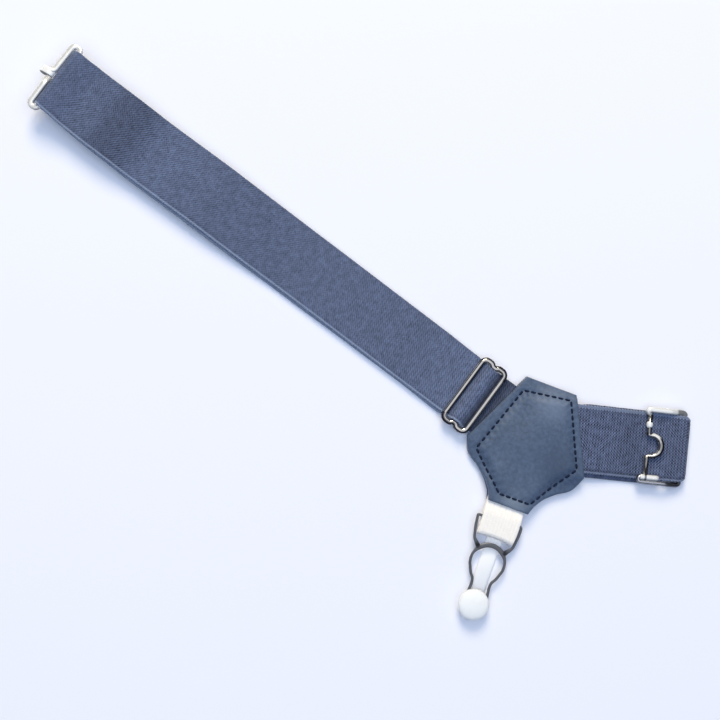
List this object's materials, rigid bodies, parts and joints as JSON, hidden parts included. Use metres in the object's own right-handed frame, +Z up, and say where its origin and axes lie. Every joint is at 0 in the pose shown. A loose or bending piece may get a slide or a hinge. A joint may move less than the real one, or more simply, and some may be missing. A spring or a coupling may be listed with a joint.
{
  "type": "sock suspender",
  "caption": "Sock suspender: elastic strap with slider and wire hook, leather patch, short strap with wire eye, and a tab with a rubber-button clip.",
  "frame": {"origin": "middle of the leather patch, on the surface that the suspender lies on", "axes": "+X from the hook's end towards the eye's end, +Y away from the clip, +Z up from the surface"},
  "size_m": [0.2708, 0.1423, 0.0105],
  "materials": {
    "webbing": "matte woven elastic",
    "leather": "satin",
    "chrome": "polished",
    "dark_metal": "satin",
    "cream_elastic": "matte woven",
    "white_rubber": "satin"
  },
  "bodies": {
    "suspender": {"long_strap": "webbing", "slider": "chrome", "short_strap": "webbing", "patch_back": "leather", "patch_front": "leather", "tab": "cream_elastic", "clip_frame": "dark_metal", "button_tongue": "white_rubber"},
    "hook": {"hook": "chrome"},
    "eye": {"eye": "chrome"}
  },
  "joints": [
    {"name": "hook_hinge", "type": "hinge", "parent": "suspender", "child": "hook", "pos_m": [-0.20421, 0.06032, 0.00834], "axis": [-0.279, -0.9603, 0], "range_deg": [-130, 40]},
    {"name": "eye_hinge", "type": "hinge", "parent": "suspender", "child": "eye", "pos_m": [0.05362, 0.01689, 0.00218], "axis": [-0.2504, 0.9681, 0], "range_deg": [0, 170]}
  ]
}
